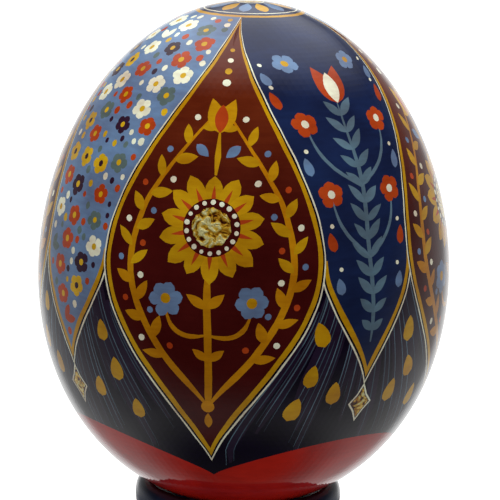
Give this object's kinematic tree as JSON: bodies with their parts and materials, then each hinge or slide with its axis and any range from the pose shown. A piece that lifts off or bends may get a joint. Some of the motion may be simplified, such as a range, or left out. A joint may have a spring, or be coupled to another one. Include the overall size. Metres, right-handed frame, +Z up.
{
  "type": "decorative egg on stand",
  "caption": "Painted and lacquered wooden egg that stands, blunt end down, in a turned wooden ring stand.",
  "frame": {"origin": "middle of the stand's underside, on the surface that it stands on", "axes": "+Z up along the common axis of egg and stand; the side that the picture shows faces -Y"},
  "size_m": [0.081, 0.081, 0.1107],
  "materials": {
    "egg_lacquer": "painted wood under high-gloss clear lacquer, with touches of gold leaf",
    "stand_lacquer": "dark navy gloss lacquer on turned wood"
  },
  "bodies": {
    "root": {"egg": "egg_lacquer", "stand": "stand_lacquer"}
  },
  "joints": []
}
